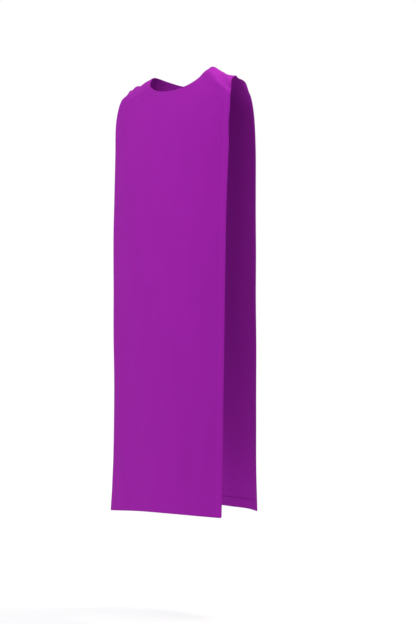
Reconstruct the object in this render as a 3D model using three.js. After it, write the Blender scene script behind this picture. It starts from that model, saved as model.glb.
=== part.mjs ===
// A scapular: a long front panel and a long back panel of plain cloth, joined at two short shoulder
// seams round a wide neck opening and open all the way down both sides. It is shaped as it hangs when
// worn: over the shoulders, out over the chest and the shoulder blades, and straight down to the hems.
//
// Millimetres. +X is the wearer's left, -Y the wearer's front, +Z up. The origin is midway between the
// two neck points, where the shoulder seams meet the neckline.
//
// Each panel is a grid of points on a surface that is read off at (across, over):
//   across  -1 at the right side edge, 0 on the centre line, 1 at the left side edge
//   over    the distance along the cloth from the shoulder seams, negative down the front and
//           positive down the back, so that folds can cross a seam

import * as THREE from "three";

// ---- driving sizes ----
const WALL = 2; // thickness of the cloth
const SEAM_GAP = 0.3; // between the two panels at a shoulder seam
const NECK_HALF = 95; // from the centre line to a neck point
const SEAM_END = 178; // from the centre line to the outer end of a shoulder seam
const FRONT_NECK_DEPTH = 88; // down the cloth from the neck points to the lowest point of the neckline
const BACK_NECK_DEPTH = 62;
const NECK_SQUARENESS = 2.3; // exponent of the neckline's superellipse: 2 is round, more is squarer

// ---- grid ----
const COLUMNS = 32; // across a panel
const ROWS = 38; // from the top edge to the hem
const NECK_SHARE = 0.56; // the share of the columns that start on the neckline
const COLUMNS_STRAIGHT_BY = 0.3; // the share of the length in which the columns even out
const ROW_EVENNESS = 0.35; // 1 gives even rows, 0 crowds them at the shoulder

// ---- how each panel hangs ----
// One row for each level section through a panel. "out" is how far the cloth stands in front of (or, on
// the back, behind) the shoulder seams, "drop" how far it is below the neck points, each on the centre
// line, on the line below the neck points and on the side edge. "half" is from the centre to the edge.
// Above the neckline the centre values only steer the surface, because the neck opening is cut there.
const SECTION = ["centreOut", "neckOut", "edgeOut", "centreDrop", "neckDrop", "edgeDrop", "half"];
const FRONT = table(SECTION, [
  [0, 0, 0, -20, 0, 28, 178], // shoulder seam
  [20, 16, 14, -15, 4, 28, 178],
  [40, 30, 31, 4, 15, 40, 177], // front of the shoulder
  [59, 47, 44, 34, 36, 63, 183],
  [70, 62, 51, 64, 64, 85, 187], // collarbone
  [84, 77, 59, 103, 103, 120, 189],
  [100, 91, 64, 153, 153, 164, 188],
  [113, 102, 64, 208, 208, 213, 189],
  [121, 109, 67, 270, 270, 272, 188], // fullest point of the chest
  [124, 112, 71, 350, 350, 351, 187],
  [126, 115, 75, 500, 500, 501, 186],
  [128, 117, 77, 700, 700, 701, 184],
  [132, 120, 79, 900, 900, 902, 182],
  [138, 125, 83, 1060, 1060, 1064, 182],
  [143, 130, 87, 1173, 1176, 1183, 182], // hem
]);
const BACK = table(SECTION, [
  [0, 0, 0, -20, 0, 28, 178], // shoulder seam
  [22, 18, 13, -14, 2, 32, 179],
  [42, 36, 26, 0, 10, 43, 181],
  [62, 54, 38, 24, 27, 62, 183], // top of the back
  [77, 71, 48, 54, 55, 88, 186],
  [91, 86, 56, 96, 97, 124, 188],
  [101, 96, 61, 150, 150, 168, 189], // shoulder blades
  [107, 101, 64, 210, 210, 220, 189],
  [110, 103, 66, 290, 290, 296, 188],
  [113, 105, 68, 420, 420, 423, 187],
  [117, 108, 70, 600, 600, 601, 186],
  [122, 112, 73, 800, 800, 800, 184],
  [127, 117, 76, 1000, 1000, 1001, 183],
  [131, 121, 79, 1174, 1175, 1179, 184], // hem
]);

// One row for each fold: a soft ridge (height above 0) or trough (below 0) that runs from one point of
// the cloth to another, changes height evenly on the way, and fades out at its sides and past its ends.
// x is from the centre line, over as described above.
const FOLD = ["x1", "over1", "height1", "x2", "over2", "height2", "halfWidth"];
const FOLDS = table(FOLD, [
  [102, -12, 6.5, 108, 22, -2, 14], // the left neck point stands up
  [104, -38, 5, 186, -112, 4, 28], // drag lines over the front of the left shoulder
  [138, -38, 0.8, 174, -56, 3, 24], // the outer end of the left shoulder is squarer
  [150, -74, 0.6, 186, -94, 2.4, 22],
  [150, -24, 2, 184, -40, -2, 26],
  [151, 3, -8, 184, 5, -7.5, 36], // the left shoulder seam dips
  [-156, -6, 6, -162, 20, 7.5, 17], // the outer end of the right shoulder seam stands up
  [-116, -29, 2, -186, -33, -7, 25], // and the cloth in front of it sinks in
  [-112, 12, 3, -182, 74, 1, 16], // drag lines over the back of the shoulders
  [110, 14, -3, 184, 66, -1, 15],
  [-62, -420, 0, -70, -1230, -5, 66], // long soft flutes in the hanging front
  [44, -540, 0, 52, -1230, 5, 72],
  [-188, -240, -1, -188, -1150, -2, 70], // the right edge of the front turns in
  [-190, -1230, 1, -190, -1300, 1, 180], // and its corner at the hem flares a little
  [-40, 460, 0, -34, 1230, 6, 74], // flutes in the hanging back
  [72, 380, 0, 84, 1230, -6, 64],
]);

function table(columns, rows) {
  return rows.map((row) => Object.fromEntries(columns.map((name, i) => [name, row[i]])));
}

// ---- surface ----
// The sections' places along the cloth, measured down the line below a neck point.
function stations(sections) {
  const places = [0];
  for (let i = 1; i < sections.length; i++) {
    const a = sections[i - 1];
    const b = sections[i];
    places.push(places[i - 1] + Math.hypot(b.neckOut - a.neckOut, b.neckDrop - a.neckDrop));
  }
  return places;
}

// A smooth curve through the sections' values of one column. The cloth is level at the seam, as if the
// first section below it were repeated beyond it: "out" changes sign there and the other values don't.
function along(sections, places, column, down) {
  const last = places.length - 1;
  const mirror = column.endsWith("Out") ? -1 : 1;
  const value = (i) => (i < 0 ? mirror * sections[1][column] : sections[i][column]);
  const place = (i) => (i < 0 ? -places[1] : places[i]);
  const chord = (i) => (value(i + 1) - value(i)) / (place(i + 1) - place(i));
  const slope = (i) => {
    if (i === last) return chord(last - 1);
    const before = place(i) - place(i - 1);
    const after = place(i + 1) - place(i);
    return (chord(i - 1) * after + chord(i) * before) / (before + after);
  };
  let k = 0;
  while (k < last - 1 && down > places[k + 1]) k++;
  const h = places[k + 1] - places[k];
  const t = (down - places[k]) / h;
  return (
    value(k) * (1 + 2 * t) * (1 - t) ** 2 +
    slope(k) * h * t * (1 - t) ** 2 +
    value(k + 1) * t * t * (3 - 2 * t) -
    slope(k + 1) * h * t * t * (1 - t)
  );
}

// The even curve a + b x^2 + c x^4 through the values at the centre, at the neck line and at the edge.
function acrossCurve(centre, neck, edge, x) {
  const n = (NECK_HALF / SEAM_END) ** 2;
  const c = ((neck - centre) / n - (edge - centre)) / (n - 1);
  const b = edge - centre - c;
  return centre + b * x * x + c * x ** 4;
}

// The panel as it would lie with no folds. Its side is -1 for the front panel and 1 for the back panel,
// and down is the distance along the cloth from its shoulder seams.
function smoothPoint(panel, across, down) {
  const read = (column) => along(panel.sections, panel.places, column, down);
  const out = acrossCurve(read("centreOut"), read("neckOut"), read("edgeOut"), across);
  const drop = acrossCurve(read("centreDrop"), read("neckDrop"), read("edgeDrop"), across);
  return new THREE.Vector3(across * read("half"), panel.side * (out + SEAM_GAP / 2), -drop);
}

// The unit normal of the surface pointAt(across, down), away from the wearer.
function outwardNormal(panel, pointAt, across, down) {
  const step = 0.5;
  const stepAcross = step / SEAM_END;
  const up = Math.max(down - step, 0);
  const alongCloth = pointAt(panel, across, up + 2 * step).sub(pointAt(panel, across, up));
  const left = Math.max(across - stepAcross, -1);
  const right = Math.min(left + 2 * stepAcross, 1);
  const acrossCloth = pointAt(panel, right, down).sub(pointAt(panel, left, down));
  const normal = acrossCloth.cross(alongCloth).multiplyScalar(panel.side);
  if (down === 0) normal.y = 0; // the end faces at a seam lie in one upright plane
  return normal.normalize();
}

// How much a fold lifts the cloth at (x, over): its full height on its line, falling smoothly to 0 at
// its half width, measured from the nearest point of the line.
function lift(fold, x, over) {
  const start = new THREE.Vector2(fold.x1, fold.over1);
  const run = new THREE.Vector2(fold.x2, fold.over2).sub(start);
  const point = new THREE.Vector2(x, over).sub(start);
  const share = THREE.MathUtils.clamp(point.dot(run) / run.lengthSq(), 0, 1);
  const away = point.distanceTo(run.multiplyScalar(share)) / fold.halfWidth;
  if (away >= 1) return 0;
  return THREE.MathUtils.lerp(fold.height1, fold.height2, share) * (1 - away * away) ** 2;
}

function foldedPoint(panel, across, down) {
  const point = smoothPoint(panel, across, down);
  const over = panel.side * down;
  const height = FOLDS.reduce((sum, fold) => sum + lift(fold, point.x, over), 0);
  return point.addScaledVector(outwardNormal(panel, smoothPoint, across, down), height);
}

// ---- grid of a panel ----
// Points along a polyline, evenly spaced by its length.
function evenly(points, count) {
  const lengths = [0];
  for (let i = 1; i < points.length; i++) lengths.push(lengths[i - 1] + points[i].distanceTo(points[i - 1]));
  const total = lengths[lengths.length - 1];
  return Array.from({ length: count + 1 }, (_, n) => {
    const want = (total * n) / count;
    let k = 0;
    while (k < points.length - 2 && lengths[k + 1] < want) k++;
    return points[k].clone().lerp(points[k + 1], (want - lengths[k]) / (lengths[k + 1] - lengths[k]));
  });
}

// The top edge of one half of a panel, from the centre of the neckline out to the side edge, as
// Vector2(x, down): first the neckline, a quarter of a superellipse, and then the shoulder seam.
function topEdge(neckDepth) {
  const half = COLUMNS / 2;
  const neckColumns = Math.round(half * NECK_SHARE);
  const power = 2 / NECK_SQUARENESS;
  const samples = 200;
  const curve = Array.from({ length: samples + 1 }, (_, n) => {
    const angle = (Math.PI / 2) * (n / samples);
    return new THREE.Vector2(NECK_HALF * Math.sin(angle) ** power, neckDepth * Math.cos(angle) ** power);
  });
  curve[samples].set(NECK_HALF, 0);
  const seam = [new THREE.Vector2(NECK_HALF, 0), new THREE.Vector2(SEAM_END, 0)];
  return [...evenly(curve, neckColumns), ...evenly(seam, half - neckColumns).slice(1)];
}

// (across, down) of grid point (column, row): a column starts on the top edge and runs to the hem.
function gridPlace(panel, column, row) {
  const half = COLUMNS / 2;
  const top = panel.top[Math.abs(column - half)];
  const hand = Math.sign(column - half);
  const share = row / ROWS;
  const downShare = ROW_EVENNESS * share + (1 - ROW_EVENNESS) * share * share;
  const straightness = THREE.MathUtils.smoothstep(downShare, 0, COLUMNS_STRAIGHT_BY);
  const topAcross = (hand * top.x) / SEAM_END;
  const hemAcross = (column - half) / half;
  return {
    across: THREE.MathUtils.lerp(topAcross, hemAcross, straightness),
    down: THREE.MathUtils.lerp(top.y, panel.length, downShare),
  };
}

// A closed wall: the grid's points moved out and in by half the thickness, with a rim all round.
function wall(panel) {
  const positions = [];
  const indices = [];
  const stride = COLUMNS + 1;
  const layer = stride * (ROWS + 1);
  for (const face of [0.5, -0.5]) {
    for (let row = 0; row <= ROWS; row++) {
      for (let column = 0; column <= COLUMNS; column++) {
        const { across, down } = gridPlace(panel, column, row);
        const outward = outwardNormal(panel, foldedPoint, across, down);
        const point = foldedPoint(panel, across, down).addScaledVector(outward, face * WALL);
        positions.push(point.x, point.y, point.z);
      }
    }
  }
  const quad = (a, b, c, d) => indices.push(...(panel.side < 0 ? [a, b, c, a, c, d] : [a, c, b, a, d, c]));
  for (let row = 0; row < ROWS; row++) {
    for (let column = 0; column < COLUMNS; column++) {
      const a = row * stride + column;
      quad(a, a + stride, a + stride + 1, a + 1);
      quad(layer + a, layer + a + 1, layer + a + stride + 1, layer + a + stride);
    }
  }
  const rim = (a, b) => quad(a, b, layer + b, layer + a);
  for (let column = 0; column < COLUMNS; column++) {
    rim(column, column + 1);
    rim(ROWS * stride + column + 1, ROWS * stride + column);
  }
  for (let row = 0; row < ROWS; row++) {
    rim((row + 1) * stride, row * stride);
    rim(row * stride + COLUMNS, (row + 1) * stride + COLUMNS);
  }
  const geometry = new THREE.BufferGeometry();
  geometry.setAttribute("position", new THREE.Float32BufferAttribute(positions, 3));
  geometry.setIndex(indices);
  geometry.computeVertexNormals();
  return geometry;
}

function panelMesh(name, side, sections, neckDepth, material) {
  const places = stations(sections);
  const panel = { side, sections, places, length: places[places.length - 1], top: topEdge(neckDepth) };
  const mesh = new THREE.Mesh(wall(panel), material);
  mesh.name = name;
  return mesh;
}

// ---- the garment ----
const cloth = () => new THREE.MeshStandardMaterial({ color: "#9b22a6", roughness: 0.9, metalness: 0 });

const scapular = new THREE.Group();
scapular.add(panelMesh("front_panel", -1, FRONT, FRONT_NECK_DEPTH, cloth()));
scapular.add(panelMesh("back_panel", 1, BACK, BACK_NECK_DEPTH, cloth()));

export default scapular;
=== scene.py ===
"""A worn purple scapular: two long hemmed panels of plain cloth, sewn together at the shoulders.

The cloth's own sizes are in millimetres, as on a pattern, and become Blender's metres where a mesh is
made. A place on a panel is given in its pattern: u is the distance from the centre line, positive on the
wearer's left, and v is the distance down the cloth from the shoulder seams. +X is the wearer's left, -Y
the wearer's front, +Z up, and the origin is midway between the two neck points.
"""

import math

import bpy
import numpy as np
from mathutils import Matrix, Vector


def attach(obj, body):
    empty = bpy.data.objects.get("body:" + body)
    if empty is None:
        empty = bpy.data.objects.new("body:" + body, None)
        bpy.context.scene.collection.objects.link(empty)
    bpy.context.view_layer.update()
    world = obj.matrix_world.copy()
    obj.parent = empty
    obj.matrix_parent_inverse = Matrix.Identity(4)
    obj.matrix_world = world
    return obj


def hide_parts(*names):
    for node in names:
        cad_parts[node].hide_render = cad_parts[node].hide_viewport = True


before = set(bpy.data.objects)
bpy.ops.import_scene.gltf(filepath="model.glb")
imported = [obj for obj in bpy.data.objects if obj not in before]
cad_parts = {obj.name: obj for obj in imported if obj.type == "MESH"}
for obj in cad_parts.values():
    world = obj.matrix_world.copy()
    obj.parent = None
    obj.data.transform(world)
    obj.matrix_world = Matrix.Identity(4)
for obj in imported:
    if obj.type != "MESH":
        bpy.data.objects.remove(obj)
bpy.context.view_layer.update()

MM = 0.001

# ---- how the panels hang: the same sizes, sections and folds as their solids ----
NECK_HALF = 95
SEAM_END = 178
NECK_SQUARENESS = 2.3

# out: in front of or behind the shoulder seams; drop: below the neck points; each on the centre line, on
# the line below a neck point and on the side edge; half: from the centre to the side edge
SECTION = ["centre_out", "neck_out", "edge_out", "centre_drop", "neck_drop", "edge_drop", "half"]
FRONT = [
    [0, 0, 0, -20, 0, 28, 178],  # shoulder seam
    [20, 16, 14, -15, 4, 28, 178],
    [40, 30, 31, 4, 15, 40, 177],  # front of the shoulder
    [59, 47, 44, 34, 36, 63, 183],
    [70, 62, 51, 64, 64, 85, 187],  # collarbone
    [84, 77, 59, 103, 103, 120, 189],
    [100, 91, 64, 153, 153, 164, 188],
    [113, 102, 64, 208, 208, 213, 189],
    [121, 109, 67, 270, 270, 272, 188],  # fullest point of the chest
    [124, 112, 71, 350, 350, 351, 187],
    [126, 115, 75, 500, 500, 501, 186],
    [128, 117, 77, 700, 700, 701, 184],
    [132, 120, 79, 900, 900, 902, 182],
    [138, 125, 83, 1060, 1060, 1064, 182],
    [143, 130, 87, 1173, 1176, 1183, 182],  # hem
]
BACK = [
    [0, 0, 0, -20, 0, 28, 178],  # shoulder seam
    [22, 18, 13, -14, 2, 32, 179],
    [42, 36, 26, 0, 10, 43, 181],
    [62, 54, 38, 24, 27, 62, 183],  # top of the back
    [77, 71, 48, 54, 55, 88, 186],
    [91, 86, 56, 96, 97, 124, 188],
    [101, 96, 61, 150, 150, 168, 189],  # shoulder blades
    [107, 101, 64, 210, 210, 220, 189],
    [110, 103, 66, 290, 290, 296, 188],
    [113, 105, 68, 420, 420, 423, 187],
    [117, 108, 70, 600, 600, 601, 186],
    [122, 112, 73, 800, 800, 800, 184],
    [127, 117, 76, 1000, 1000, 1001, 183],
    [131, 121, 79, 1174, 1175, 1179, 184],  # hem
]
# name, side (-1 in front and 1 behind), sections, depth of the neck below the neck points
PANELS = [("front", -1, FRONT, 88), ("back", 1, BACK, 62)]

# Soft ridges (height above 0) and troughs (below 0). over is v on the back and -v on the front.
FOLD = ["x1", "over1", "height1", "x2", "over2", "height2", "half_width"]
FOLDS = [
    [102, -12, 6.5, 108, 22, -2, 14],  # the left neck point stands up
    [104, -38, 5, 186, -112, 4, 28],  # drag lines over the front of the left shoulder
    [138, -38, 0.8, 174, -56, 3, 24],  # the outer end of the left shoulder is squarer
    [150, -74, 0.6, 186, -94, 2.4, 22],
    [150, -24, 2, 184, -40, -2, 26],
    [151, 3, -8, 184, 5, -7.5, 36],  # the left shoulder seam dips
    [-156, -6, 6, -162, 20, 7.5, 17],  # the outer end of the right shoulder seam stands up
    [-116, -29, 2, -186, -33, -7, 25],  # and the cloth in front of it sinks in
    [-112, 12, 3, -182, 74, 1, 16],  # drag lines over the back of the shoulders
    [110, 14, -3, 184, 66, -1, 15],
    [-62, -420, 0, -70, -1230, -5, 66],  # long soft flutes in the hanging front
    [44, -540, 0, 52, -1230, 5, 72],
    [-188, -240, -1, -188, -1150, -2, 70],  # the right edge of the front turns in
    [-190, -1230, 1, -190, -1300, 1, 180],  # and its corner at the hem flares a little
    [-40, 460, 0, -34, 1230, 6, 74],  # flutes in the hanging back
    [72, 380, 0, 84, 1230, -6, 64],
]
# Creases too small for the solids
CREASES = [
    [103, -30, 0.8, 146, -78, 1.3, 10],  # front of the left shoulder
    [146, -78, 1.3, 177, -94, 0.6, 10],
    [126, -42, -0.5, 156, -66, -0.5, 5],
    [127, -6, 0.5, 153, -32, 0.3, 10],
    [153, -32, 0.3, 176, -42, 0.4, 10],
    [-70, -62, 1, -142, -88, 1.2, 11],  # front of the right shoulder
    [-118, 20, 0.8, -160, 66, 1.2, 10],  # back of the shoulders
    [-108, 34, -0.8, -150, 84, -1, 9],
    [116, 26, 0.8, 158, 70, 1.1, 10],
    [104, 38, -0.7, 146, 88, -1, 9],
]
# A worn cloth is never quite even: long low waves, as (height, across, along, phase)
WAVES = [(0.5, 96, 640, 0.4), (0.35, 61, -410, 2.1), (0.3, 148, 230, 4.0)]

# ---- sewing ----
CLOTH = 0.7  # thickness of one layer
LAYER_STEP = 0.5  # the width over which a turned-under layer ends
HEM_LAYERS = 3  # a hem is turned under twice
SEAM_LAYERS = 2  # the seam allowances are pressed open
SIDE_HEM = 12  # depth of the hems at the sides and the neck
BOTTOM_HEM = 25
SEAM_ALLOWANCE = 12
STITCH_INSET = 1.8  # from the inner fold of a hem to its row of stitches
STITCH_PITCH = 3.2  # from one stitch to the next
STITCH_LENGTH = 2.6
STITCH_START = 3  # from the shoulder seam to the first stitch of a side hem
# rings of points round a stitch: (place along it, radius), as shares of its length and the thread's radius
STITCH_RINGS = [(-0.5, 0.3), (-0.36, 1), (0.36, 1), (0.5, 0.3)]
STITCH_SIDES = 6
THREAD_RADIUS = 0.2
THREAD_RISE = 0.4  # how far a stitch's middle stands above the groove, as a share of its radius
STITCH_GROOVE = 0.22  # how deep the thread pulls the cloth in
GROOVE_REACH = 0.5
PUCKER_REACH = 6  # how far from its stitches the cloth puckers
SEAM_DIP = 0.5  # how deep the cloth dips at a shoulder seam
SEAM_DIP_REACH = 1.2
EDGE_SHADE_REACH = 2  # how far in from an edge the cloth is painted darker, as painted shade where the edge rolls over
CORNER_RADIUS = 4  # of the two bottom corners of a panel

# ---- grids ----
# distances from an edge at which rows or columns of points lie
EDGE_STEPS = np.array([0, 0.12, 0.42, 1, 2.4, 3.8, 5.3, 7, 9.3, 9.8, 10.2, 10.6, 11.1, 12, 12.5, 14.5])
BOTTOM_STEPS = np.array([
    0, 0.12, 0.42, 1, 2.4, 3.8, 5.3, 7, 10, 15, 21, 22.3, 22.8, 23.2, 23.6, 24.1, 25, 25.5, 28,
])
NECK_COLUMNS = 30  # from the centre to a neck point
SEAM_COLUMNS = 20  # from a neck point to the side hem
BODY_ROWS = 130  # between the neck's rows and the hem's
BODY_EVENNESS = 0.35  # 1 spaces the body's rows evenly, and less crowds them towards the shoulders
NECK_REACH = 0.3  # the share of the body over which its columns turn from the neckline to straight down
NECKLINE_POINTS = 400  # of the curve that a row at the neck is measured along
NECK_STITCH_POINTS = 120  # of half the neck's row of stitches
NORMAL_STEP = 0.5  # between the points that give the surface's direction
FAR = 1e3  # a distance at which an edge has no effect


def smoothstep(low, high, x):
    t = np.clip((x - low) / (high - low), 0, 1)
    return t * t * (3 - 2 * t)


# ---- the surface ----
class Panel:
    """One panel. side is -1 for the front and 1 for the back."""

    def __init__(self, side, rows, neck_depth):
        self.side = side
        self.neck_depth = neck_depth
        self.sections = dict(zip(SECTION, np.array(rows, float).T))
        steps = np.hypot(np.diff(self.sections["neck_out"]), np.diff(self.sections["neck_drop"]))
        self.places = np.concatenate([[0], np.cumsum(steps)])
        self.length = self.places[-1]
        self.slopes = {name: self.slope_of(name) for name in SECTION}

    def slope_of(self, name):
        """The slope of one column at each section. At the seam "out" changes sign and the rest don't."""
        mirror = -1 if name.endswith("out") else 1
        values = np.concatenate([[mirror * self.sections[name][1]], self.sections[name]])
        places = np.concatenate([[-self.places[1]], self.places])
        gaps = np.diff(places)
        chords = np.diff(values) / gaps
        inner = (chords[:-1] * gaps[1:] + chords[1:] * gaps[:-1]) / (gaps[:-1] + gaps[1:])
        return np.concatenate([inner, chords[-1:]])

    def along(self, name, v):
        """The smooth curve through one column of the sections, at v."""
        values, slopes, places = self.sections[name], self.slopes[name], self.places
        k = np.clip(np.searchsorted(places, v) - 1, 0, len(places) - 2)
        h = places[k + 1] - places[k]
        t = (v - places[k]) / h
        return (
            values[k] * (1 + 2 * t) * (1 - t) ** 2
            + slopes[k] * h * t * (1 - t) ** 2
            + values[k + 1] * t * t * (3 - 2 * t)
            - slopes[k + 1] * h * t * t * (1 - t)
        )

    def across(self, what, share, v):
        """The even curve through what's values at the centre, the neck line and the side edge."""
        centre, neck, edge = (self.along(f"{place}_{what}", v) for place in ("centre", "neck", "edge"))
        n = (NECK_HALF / SEAM_END) ** 2
        c = ((neck - centre) / n - (edge - centre)) / (n - 1)
        b = edge - centre - c
        return centre + b * share**2 + c * share**4

    def smooth_point(self, u, v):
        share = u / SEAM_END
        x = share * self.along("half", v)
        return np.stack([x, self.side * self.across("out", share, v), -self.across("drop", share, v)], -1)

    def folded_point(self, u, v):
        point = self.smooth_point(u, v)
        height = fold_height(point[..., 0], self.side * v)
        return point + self.normal(self.smooth_point, u, v) * height[..., None]

    def normal(self, point_at, u, v):
        """The unit normal away from the wearer. On the seam it leans neither forwards nor back."""
        up = np.maximum(v - NORMAL_STEP, 0)
        left = np.maximum(u - NORMAL_STEP, -SEAM_END)
        right = np.minimum(left + 2 * NORMAL_STEP, SEAM_END)
        normal = self.side * np.cross(
            point_at(right, v) - point_at(left, v), point_at(u, up + 2 * NORMAL_STEP) - point_at(u, up)
        )
        normal[..., 1] = np.where(v == 0, 0, normal[..., 1])
        return normal / np.linalg.norm(normal, axis=-1, keepdims=True)


def fold_height(x, over):
    """How far the waves, folds and creases lift the cloth off its smooth surface."""
    height = sum(
        size * np.sin(2 * np.pi * (x / across + over / along) + phase) for size, across, along, phase in WAVES
    )
    for row in FOLDS + CREASES:
        fold = dict(zip(FOLD, row))
        dx, dy = fold["x2"] - fold["x1"], fold["over2"] - fold["over1"]
        from_x, from_y = x - fold["x1"], over - fold["over1"]
        share = np.clip((from_x * dx + from_y * dy) / (dx * dx + dy * dy), 0, 1)
        away = np.minimum(np.hypot(from_x - share * dx, from_y - share * dy) / fold["half_width"], 1)
        height = height + (fold["height1"] + share * (fold["height2"] - fold["height1"])) * (1 - away**2) ** 2
    return height


# ---- layers: how far the two faces of the cloth lie from its middle surface ----
def hem_profile(distance, depth):
    """The dip of both faces at the stitches and the thickness added inside, this far from a hemmed edge."""
    groove = STITCH_GROOVE * np.exp(-(((distance - depth + STITCH_INSET) / GROOVE_REACH) ** 2))
    extra = (HEM_LAYERS - 1) * CLOTH * (1 - smoothstep(depth, depth + LAYER_STEP, distance))
    return groove, extra


def faces_at(side, neck, bottom, seam):
    """Heights of the outer and inner face, from the distances to the side, neck, bottom and seam edges."""
    dip = np.zeros_like(side)
    extra = (SEAM_LAYERS - 1) * CLOTH * (1 - smoothstep(SEAM_ALLOWANCE, SEAM_ALLOWANCE + LAYER_STEP, seam))
    for distance, depth in ((side, SIDE_HEM), (neck, SIDE_HEM), (bottom, BOTTOM_HEM)):
        groove, added = hem_profile(distance, depth)
        dip = np.maximum(dip, groove)
        extra = np.maximum(extra, added)
    outer = CLOTH / 2 - dip - SEAM_DIP * np.exp(-((seam / SEAM_DIP_REACH) ** 2))
    inner = -CLOTH / 2 - extra + dip
    middle = (outer + inner) / 2
    half = (outer - inner) / 2
    nearest = np.minimum(np.minimum(side, neck), np.minimum(bottom, seam))
    rounding = np.sqrt(1 - (1 - np.clip(nearest / half, 0, 1)) ** 2)
    return middle + half * rounding, middle - half * rounding


# ---- the grid of a panel ----
def evenly(line, count):
    """count + 1 points evenly spaced along a polyline."""
    lengths = np.concatenate([[0], np.cumsum(np.linalg.norm(np.diff(line, axis=0), axis=1))])
    want = np.linspace(0, lengths[-1], count + 1)
    return np.stack([np.interp(want, lengths, line[:, k]) for k in (0, 1)], 1)


def neckline(panel, inset, count):
    """Points (u, v) from the centre to the neck point, inset from the neckline, a quarter superellipse."""
    angle = np.linspace(0, np.pi / 2, NECKLINE_POINTS)
    power = 2 / NECK_SQUARENESS
    u = NECK_HALF * np.sin(angle) ** power
    v = panel.neck_depth * np.abs(np.cos(angle)) ** power
    across = (u / NECK_HALF) ** (NECK_SQUARENESS - 1) / NECK_HALF
    down = (v / panel.neck_depth) ** (NECK_SQUARENESS - 1) / panel.neck_depth
    size = np.hypot(across, down)
    line = np.stack([u + inset * across / size, v + inset * down / size], 1)
    mitre = [[NECK_HALF + inset, inset]]
    return evenly(np.concatenate([line[line[:, 1] > inset + 1e-6], mitre]), count)


def top_line(panel, inset):
    """(u, v) of the left half's columns on the line that is inset from the neckline and the seam."""
    neck = neckline(panel, inset, NECK_COLUMNS)
    seam = np.linspace(NECK_HALF + inset, SEAM_END - EDGE_STEPS[-1], SEAM_COLUMNS + 1)[1:]
    seam = np.concatenate([seam, SEAM_END - EDGE_STEPS[-2::-1]])
    return np.concatenate([neck, np.stack([seam, np.full_like(seam, inset)], 1)])


def both_halves(left, mirror=1):
    """The left half with its mirror image before it. mirror is -1 for what changes sign."""
    return np.concatenate([mirror * left[..., :0:-1], left], -1)


def panel_grid(panel):
    """u, v and the four edge distances of every grid point, as arrays of rows by columns."""
    top = np.stack([top_line(panel, inset) for inset in EDGE_STEPS])
    inner = np.linspace(0, SEAM_END - EDGE_STEPS[-1], NECK_COLUMNS + SEAM_COLUMNS + 1)
    hem_u = np.concatenate([inner, SEAM_END - EDGE_STEPS[-2::-1]])
    share = np.linspace(0, 1, BODY_ROWS + 1)[1:, None]
    down = BODY_EVENNESS * share + (1 - BODY_EVENNESS) * share**2
    start_u, start_v = top[-1, :, 0], top[-1, :, 1]
    body_u = start_u + (hem_u - start_u) * smoothstep(0, NECK_REACH, down)
    body_v = start_v + (panel.length - BOTTOM_STEPS[-1] - start_v) * down
    bottom_u, bottom_v = np.meshgrid(hem_u, panel.length - BOTTOM_STEPS[-2::-1])
    u = np.concatenate([top[:, :, 0], body_u, bottom_u])
    v = np.concatenate([top[:, :, 1], body_v, bottom_v])
    columns = np.arange(u.shape[1])
    inset = np.full(u.shape, FAR)
    inset[: len(EDGE_STEPS)] = EDGE_STEPS[:, None]
    distances = {
        "side": SEAM_END - u,
        "neck": np.where(columns <= NECK_COLUMNS, inset, FAR),
        "bottom": panel.length - v,
        "seam": np.where(columns >= NECK_COLUMNS, inset, FAR),
    }
    u, v = rounded_corner(u, v, distances["side"], distances["bottom"])
    return both_halves(u, -1), both_halves(v), {name: both_halves(d) for name, d in distances.items()}


def rounded_corner(u, v, side, bottom):
    """Turns the square bottom corner into a quarter of a circle."""
    a = np.clip(1 - side / CORNER_RADIUS, 0, 1)
    b = np.clip(1 - bottom / CORNER_RADIUS, 0, 1)
    in_corner = (a > 0) & (b > 0)
    u = np.where(in_corner, u - CORNER_RADIUS * a * (1 - np.sqrt(1 - b * b / 2)), u)
    v = np.where(in_corner, v - CORNER_RADIUS * b * (1 - np.sqrt(1 - a * a / 2)), v)
    return u, v


# ---- meshes ----
def new_object(name, points, faces, material):
    mesh = bpy.data.meshes.new(name)
    mesh.from_pydata(points.tolist(), [], faces)
    mesh.polygons.foreach_set("use_smooth", [True] * len(mesh.polygons))
    mesh.materials.append(material)
    mesh.validate()
    obj = bpy.data.objects.new(name, mesh)
    bpy.context.collection.objects.link(obj)
    return obj


def add_point_values(mesh, name, values):
    mesh.attributes.new(name, "FLOAT", "POINT").data.foreach_set("value", values)


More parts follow.
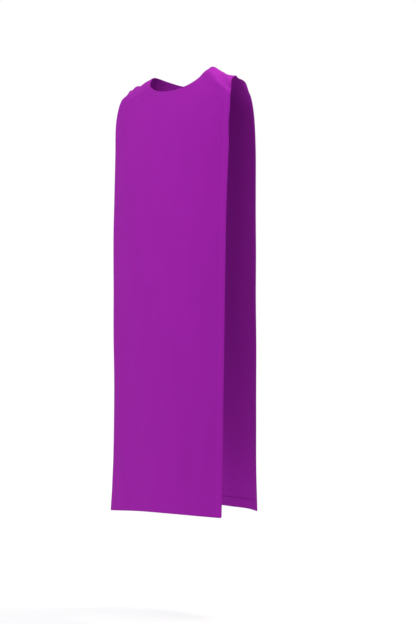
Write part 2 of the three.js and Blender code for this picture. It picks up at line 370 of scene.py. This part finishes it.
def cloth_panel(name, panel, material):
    """A closed sheet: an outer and an inner face that share the points of their edges."""
    u, v, distances = panel_grid(panel)
    outer, inner = faces_at(**distances)
    middle = panel.folded_point(u, v)
    normal = panel.normal(panel.folded_point, u, v)
    rows, columns = u.shape
    outer_index = np.arange(rows * columns).reshape(rows, columns)
    inner_index = outer_index.copy()
    inside = (slice(1, -1), slice(1, -1))
    inside_shape = (rows - 2, columns - 2)
    inner_index[inside] = rows * columns + np.arange(math.prod(inside_shape)).reshape(inside_shape)
    points = np.concatenate([
        (middle + normal * outer[..., None]).reshape(-1, 3),
        (middle + normal * inner[..., None])[inside].reshape(-1, 3),
    ]) * MM
    faces = []
    for index, flip in ((outer_index, panel.side > 0), (inner_index, panel.side < 0)):
        corners = [index[:-1, :-1], index[1:, :-1], index[1:, 1:], index[:-1, 1:]]
        quads = np.stack(corners[::-1] if flip else corners, -1).reshape(-1, 4)
        faces += quads.tolist()
    obj = new_object(name, points, faces, material)

    def each_point(values):
        return np.concatenate([values.ravel(), values[inside].ravel()])

    pattern = np.stack([each_point(u), each_point(panel.side * v), 0 * each_point(u)], 1) * MM
    obj.data.attributes.new("pattern", "FLOAT_VECTOR", "POINT").data.foreach_set("vector", pattern.ravel())
    edges = (("side", SIDE_HEM), ("neck", SIDE_HEM), ("bottom", BOTTOM_HEM))
    from_stitches = np.minimum.reduce([
        np.abs(distances[edge] - depth + STITCH_INSET) for edge, depth in edges
    ])
    nearest = np.minimum.reduce([distances[edge] for edge, _ in edges])
    side_hem = 1 - smoothstep(SIDE_HEM, SIDE_HEM + 1, distances["side"])
    add_point_values(obj.data, "stitched", each_point(np.exp(-((from_stitches / PUCKER_REACH) ** 2))))
    # painted light: the side hems a little lighter
    add_point_values(obj.data, "side_hem", each_point(side_hem))
    # painted shade: the cloth darkens towards every edge, where it rolls over
    add_point_values(obj.data, "edge", each_point(np.exp(-nearest / EDGE_SHADE_REACH)))
    return obj


def stitch_bar():
    """The points and faces of one stitch: a small rounded bar along x."""
    rings = np.array(STITCH_RINGS) * [STITCH_LENGTH, THREAD_RADIUS]
    turns = np.arange(STITCH_SIDES) * 2 * np.pi / STITCH_SIDES
    points = np.array([[x, r * math.cos(a), r * math.sin(a)] for x, r in rings for a in turns])
    index = np.arange(len(points)).reshape(len(rings), STITCH_SIDES)
    ahead = np.roll(index, -1, 1)
    sides = np.stack([index[:-1], ahead[:-1], ahead[1:], index[1:]], -1).reshape(-1, 4)
    return points, sides.tolist() + [index[0, ::-1].tolist(), index[-1].tolist()]


def stitch_lines(panel):
    """Each row of stitches as (points (u, v), the edge that it follows)."""
    side = SEAM_END - SIDE_HEM + STITCH_INSET
    bottom = panel.length - BOTTOM_HEM + STITCH_INSET
    half_neck = neckline(panel, SIDE_HEM - STITCH_INSET, NECK_STITCH_POINTS)
    return [
        (np.concatenate([half_neck[:0:-1] * [-1, 1], half_neck]), "neck"),
        (np.array([[-side, bottom], [side, bottom]]), "bottom"),
        (np.array([[-side, STITCH_START], [-side, bottom]]), "side"),
        (np.array([[side, STITCH_START], [side, bottom]]), "side"),
    ]


def stitching(name, panel, material):
    """Every stitch as a small bar that lies in the groove. Those inside lie between those outside."""
    bar, bar_faces = stitch_bar()
    points, faces = [], []
    for line, edge in stitch_lines(panel):
        length = np.linalg.norm(np.diff(line, axis=0), axis=1).sum()
        count = int(length / STITCH_PITCH)
        quarters = evenly(line, 4 * count)
        depth = BOTTOM_HEM if edge == "bottom" else SIDE_HEM
        # a stitch outside lies at the first quarter of its pitch, and one inside at the third
        for face, first in ((1, 1), (-1, 3)):
            place = quarters[first::4]
            ahead = quarters[first + 1 :: 4]
            u, v = place.T
            middle = panel.folded_point(u, v)
            normal = panel.normal(panel.folded_point, u, v)
            distances = {name: np.full_like(u, FAR) for name in ("side", "neck", "bottom", "seam")}
            distances[edge] = np.full_like(u, depth - STITCH_INSET)
            height = faces_at(**distances)[0 if face > 0 else 1] + face * THREAD_RISE * THREAD_RADIUS
            centre = middle + normal * height[:, None]
            tangent = panel.folded_point(*ahead.T) - middle
            tangent /= np.linalg.norm(tangent, axis=1, keepdims=True)
            axes = np.stack([tangent, np.cross(normal, tangent), normal], 1)
            base = sum(map(len, points))
            points.append((np.einsum("kj,njx->nkx", bar, axes) + centre[:, None]).reshape(-1, 3))
            for n in range(len(u)):
                faces += [[base + n * len(bar) + k for k in face_points] for face_points in bar_faces]
    return new_object(name, np.concatenate(points) * MM, faces, material)


# ---- materials ----
def new_material(name):
    material = bpy.data.materials.new(name)
    material.use_nodes = True
    nodes, links = material.node_tree.nodes, material.node_tree.links
    return material, nodes, links, nodes["Principled BSDF"]


def math_node(nodes, links, operation, first, second):
    """A Math node. Each input is a number or a socket."""
    node = nodes.new("ShaderNodeMath")
    node.operation = operation
    for socket, value in zip(node.inputs, (first, second)):
        if isinstance(value, (int, float)):
            socket.default_value = value
        else:
            links.new(value, socket)
    return node.outputs[0]


def attribute_node(nodes, name, output="Fac"):
    """The values that a mesh keeps for its points under this name."""
    node = nodes.new("ShaderNodeAttribute")
    node.attribute_name = name
    return node.outputs[output]


def noise_node(nodes, links, pattern, across, along, detail):
    """Noise on the cloth with so many lumps a metre across it and along it."""
    stretch = nodes.new("ShaderNodeVectorMath")
    stretch.operation = "MULTIPLY"
    stretch.inputs[1].default_value = (across, along, 1)
    links.new(pattern, stretch.inputs[0])
    node = nodes.new("ShaderNodeTexNoise")
    node.inputs["Scale"].default_value = 1
    node.inputs["Detail"].default_value = detail
    links.new(stretch.outputs[0], node.inputs["Vector"])
    return node.outputs["Fac"]


def weighted_sum(nodes, links, start, parts):
    """start plus each source times its weight."""
    total = start
    for source, weight in parts:
        part = math_node(nodes, links, "MULTIPLY", source, weight)
        total = math_node(nodes, links, "ADD", part, total)
    return total


YARN_WIDTH = 0.00045  # of the weave, in metres
CLOTH_DARK = (0.29, 0.0105, 0.337, 1)
CLOTH_LIGHT = (0.37, 0.0125, 0.43, 1)
SHEEN_TINT = (1.0, 0.5, 0.6, 1)
THREAD_DARK = (0.25, 0.008, 0.30, 1)
THREAD_LIGHT = (0.37, 0.017, 0.43, 1)
PLY_SCALE = 900  # of the bands of painted light and painted shade that stand for the ridges of the thread's two plies
# noise of the cloth: lumps a metre across it, lumps a metre along it, detail
WARP_NOISE = (1 / (2 * YARN_WIDTH), 30, 2)
WEFT_NOISE = (30, 1 / (2 * YARN_WIDTH), 2)
PATCH_NOISE = (9, 6, 2)
PUCKER_NOISE = (110, 110, 1)


def cloth_material():
    """Fine plain-woven purple cloth: matt, with a soft sheen, painted light that makes it a little lighter
    along the side hems, and painted shade that makes it darker at every edge.
    """
    material, nodes, links, shader = new_material("purple_cloth")
    pattern = attribute_node(nodes, "pattern", "Vector")
    split = nodes.new("ShaderNodeSeparateXYZ")
    links.new(pattern, split.inputs[0])

    def threads(axis):
        turns = math_node(nodes, links, "MULTIPLY", split.outputs[axis], math.pi / YARN_WIDTH)
        return math_node(nodes, links, "SINE", turns, 0)

    weave = math_node(nodes, links, "MULTIPLY", threads("X"), threads("Y"))
    warp, weft, patches, lumps = (
        noise_node(nodes, links, pattern, *noise)
        for noise in (WARP_NOISE, WEFT_NOISE, PATCH_NOISE, PUCKER_NOISE)
    )
    stitched, side_hem, edge = (attribute_node(nodes, name) for name in ("stitched", "side_hem", "edge"))
    puckers = math_node(nodes, links, "MULTIPLY", lumps, stitched)

    # colour: uneven threads, faint larger patches, painted light that makes the side hems a little lighter,
    # and painted shade that darkens every edge
    share = weighted_sum(nodes, links, -0.02, [
        (weave, 0.12), (warp, 0.38), (weft, 0.38), (patches, 0.25), (side_hem, 0.25), (edge, -0.8),
    ])
    ramp = nodes.new("ShaderNodeValToRGB")
    ramp.color_ramp.elements[0].color = CLOTH_DARK
    ramp.color_ramp.elements[1].color = CLOTH_LIGHT
    links.new(share, ramp.inputs[0])
    links.new(ramp.outputs[0], shader.inputs["Base Color"])

    # relief in millimetres: threads, and the small puckers that a row of stitches pulls in
    height = weighted_sum(nodes, links, 0, [(weave, 0.07), (warp, 0.16), (weft, 0.16), (puckers, 0.9)])
    bump = nodes.new("ShaderNodeBump")
    bump.inputs["Strength"].default_value = 0.8
    bump.inputs["Distance"].default_value = MM
    links.new(height, bump.inputs["Height"])
    links.new(bump.outputs[0], shader.inputs["Normal"])

    links.new(weighted_sum(nodes, links, 0.7, [(warp, 0.1), (weft, 0.1)]), shader.inputs["Roughness"])
    shader.inputs["Specular IOR Level"].default_value = 0.03
    shader.inputs["Sheen Weight"].default_value = 0.03
    shader.inputs["Sheen Roughness"].default_value = 0.9
    shader.inputs["Sheen Tint"].default_value = SHEEN_TINT
    return material


def thread_material():
    """Polyester thread in the cloth's colour, with its two plies as fine diagonal bands of painted light and
    painted shade.
    """
    material, nodes, links, shader = new_material("purple_thread")
    place = nodes.new("ShaderNodeNewGeometry").outputs["Position"]
    plies = nodes.new("ShaderNodeTexWave")
    plies.bands_direction = "DIAGONAL"
    plies.inputs["Scale"].default_value = PLY_SCALE
    links.new(place, plies.inputs["Vector"])
    # painted light and shade: the plies' ridges lighter and the grooves between them darker
    ramp = nodes.new("ShaderNodeValToRGB")
    ramp.color_ramp.elements[0].color = THREAD_DARK
    ramp.color_ramp.elements[1].color = THREAD_LIGHT
    links.new(plies.outputs["Fac"], ramp.inputs[0])
    links.new(ramp.outputs[0], shader.inputs["Base Color"])
    shader.inputs["Roughness"].default_value = 0.45
    return material


# ---- camera, light and floor, in metres ----
CAMERA_TURN = math.radians(35)  # round from straight in front, towards the wearer's left
CAMERA_DISTANCE = 3.6
CAMERA_HEIGHT = -0.82
FOCAL_PIXELS = 1333
SENSOR = 36  # millimetres along the longer side of the image, its height
IMAGE_WIDTH, IMAGE_HEIGHT = 416, 624
ORIGIN_COLUMN = 184.2  # where the middle of the neck falls across the image
HORIZON_ROW = 377  # the row of the image that is level with the camera
# name, place, target, size, power in watts and colour of each light
LIGHTS = [
    ("top_light", (0.8, 0.6, 1.4), (0.05, 0, -0.1), 0.7, 35, (1, 0.91, 0.8)),
    ("high_light", (-0.5, 0.2, 1.6), (-0.05, 0, -0.1), 0.8, 8.5, (1, 1, 1)),
    ("front_light", (0.5, -1.75, 0.2), (0, 0, -0.35), 1.1, 17, (1, 1, 1)),
    ("near_light", (2.2, -0.9, -0.1), (0, 0, -0.4), 1.0, 7, (1, 1, 1)),
    ("side_light", (-2.2, -1.3, 0.1), (0, 0, -0.4), 1.0, 20, (1, 1, 1)),
    ("back_light", (-0.8, 2.2, -0.4), (0, 0, -0.4), 1.4, 16, (1, 1, 1)),
]
STUDIO_LIGHT = 0.33  # how much light the white studio gives
FLOOR = -1.47  # an adult's shoulders are this far above the floor
FLOOR_RADIUS = 5.0
FLOOR_SIDES = 96
FLOOR_FADE = (0.5, 1.7)  # from the centre: the floor starts to fade here, and is gone there
FLOOR_COLOUR = (0.45, 0.45, 0.46, 1)
FLOOR_GLOW = 0.6  # keeps the floor pale


def make_camera():
    data = bpy.data.cameras.new("camera")
    data.sensor_width = SENSOR
    data.lens = SENSOR * FOCAL_PIXELS / IMAGE_HEIGHT
    data.shift_y = (HORIZON_ROW - IMAGE_HEIGHT / 2) / IMAGE_HEIGHT
    camera = bpy.data.objects.new("camera", data)
    right = Vector((math.cos(CAMERA_TURN), math.sin(CAMERA_TURN), 0))
    back = Vector((math.sin(CAMERA_TURN), -math.cos(CAMERA_TURN), 0))
    sideways = (IMAGE_WIDTH / 2 - ORIGIN_COLUMN) * CAMERA_DISTANCE / FOCAL_PIXELS
    camera.location = back * CAMERA_DISTANCE + right * sideways + Vector((0, 0, CAMERA_HEIGHT))
    camera.rotation_euler = (math.pi / 2, 0, CAMERA_TURN)
    bpy.context.collection.objects.link(camera)
    bpy.context.scene.camera = camera


def area_light(name, place, target, size, power, colour):
    """A square soft light that faces the target and isn't seen itself."""
    data = bpy.data.lights.new(name, "AREA")
    data.size = size
    data.energy = power
    data.color = colour
    light = bpy.data.objects.new(name, data)
    light.location = place
    light.rotation_euler = (Vector(target) - light.location).to_track_quat("-Z", "Y").to_euler()
    light.visible_camera = False
    bpy.context.collection.objects.link(light)


def make_lights():
    for light in LIGHTS:
        area_light(*light)
    world = bpy.data.worlds.new("studio")
    world.use_nodes = True
    nodes, links = world.node_tree.nodes, world.node_tree.links
    background = nodes["Background"]
    background.inputs["Color"].default_value = (1, 1, 1, 1)
    # the studio is white to look at and a little dimmer as a light
    ray = nodes.new("ShaderNodeLightPath").outputs["Is Camera Ray"]
    strength = math_node(nodes, links, "MULTIPLY_ADD", ray, 1 - STUDIO_LIGHT)
    strength.node.inputs[2].default_value = STUDIO_LIGHT
    links.new(strength, background.inputs["Strength"])
    bpy.context.scene.world = world


def make_floor():
    """A pale round floor that fades into the white studio."""
    turns = np.arange(FLOOR_SIDES) * 2 * np.pi / FLOOR_SIDES
    x, y = FLOOR_RADIUS * np.cos(turns), FLOOR_RADIUS * np.sin(turns)
    points = np.stack([x, y, np.full(FLOOR_SIDES, FLOOR)], 1)
    material, nodes, links, shader = new_material("pale_floor")
    shader.inputs["Base Color"].default_value = FLOOR_COLOUR
    shader.inputs["Roughness"].default_value = 0.9
    shader.inputs["Specular IOR Level"].default_value = 0
    shader.inputs["Emission Color"].default_value = (1, 1, 1, 1)
    shader.inputs["Emission Strength"].default_value = FLOOR_GLOW
    place = nodes.new("ShaderNodeNewGeometry").outputs["Position"]
    flat = nodes.new("ShaderNodeVectorMath")
    flat.operation = "MULTIPLY"
    flat.inputs[1].default_value = (1, 1, 0)
    links.new(place, flat.inputs[0])
    reach = nodes.new("ShaderNodeVectorMath")
    reach.operation = "LENGTH"
    links.new(flat.outputs[0], reach.inputs[0])
    fade = nodes.new("ShaderNodeMapRange")
    fade.interpolation_type = "SMOOTHSTEP"
    fade.inputs["From Min"].default_value, fade.inputs["From Max"].default_value = FLOOR_FADE
    fade.inputs["To Min"].default_value = 1
    fade.inputs["To Max"].default_value = 0
    links.new(reach.outputs["Value"], fade.inputs["Value"])
    links.new(fade.outputs[0], shader.inputs["Alpha"])
    new_object("floor", points, [list(range(FLOOR_SIDES))], material)


def main():
    cloth, thread = cloth_material(), thread_material()
    for name, side, rows, neck_depth in PANELS:
        panel = Panel(side, rows, neck_depth)
        sheet = cloth_panel(f"{name}_cloth", panel, cloth)
        stitches = stitching(f"{name}_stitching", panel, thread)
        for piece in (sheet, stitches):
            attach(piece, "root")
        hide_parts(f"{name}_panel")
    make_camera()
    make_lights()
    make_floor()
    bpy.context.scene.view_settings.view_transform = "Standard"


main()
